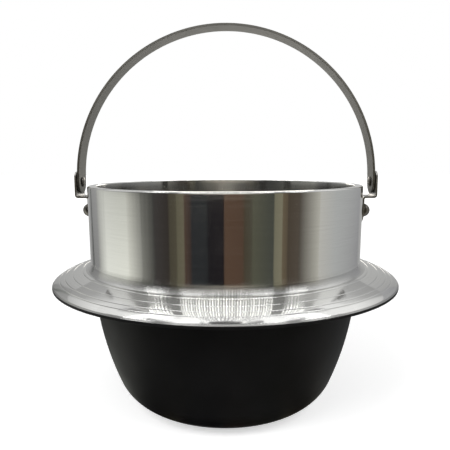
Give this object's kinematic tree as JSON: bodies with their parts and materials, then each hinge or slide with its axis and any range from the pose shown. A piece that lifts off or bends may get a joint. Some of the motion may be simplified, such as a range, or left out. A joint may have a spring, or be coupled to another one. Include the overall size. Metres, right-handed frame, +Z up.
{
  "type": "camp rice pot",
  "caption": "Flanged camp rice pot with a turned metal wall, a wide sloping skirt, a dark round bowl below and a strip bail that swings on riveted ear brackets.",
  "frame": {"origin": "centre of the flat base that the pot stands on", "axes": "+Z up along the pot's axis, +X towards the right ear bracket along the bail's hinge axis, -Y towards the viewer of the picture"},
  "size_m": [0.235, 0.235, 0.2572],
  "materials": {
    "pot_metal": "turned and bright above the flange, dark matte coating below it",
    "bail_steel": "satin",
    "ear_steel": "satin",
    "rivet_steel": "polished"
  },
  "bodies": {
    "pot": {"pot_body": "pot_metal", "ear_bracket_left": "ear_steel", "ear_bracket_right": "ear_steel", "pivot_rivet_left": "rivet_steel", "pivot_rivet_right": "rivet_steel", "wall_rivet_left": "rivet_steel", "wall_rivet_right": "rivet_steel"},
    "bail": {"bail_handle": "bail_steel"}
  },
  "joints": [
    {"name": "bail_swing", "type": "hinge", "parent": "pot", "child": "bail", "pos_m": [0, 0, 0.1526], "axis": [1, 0, 0], "range_deg": [-97, 97]}
  ]
}
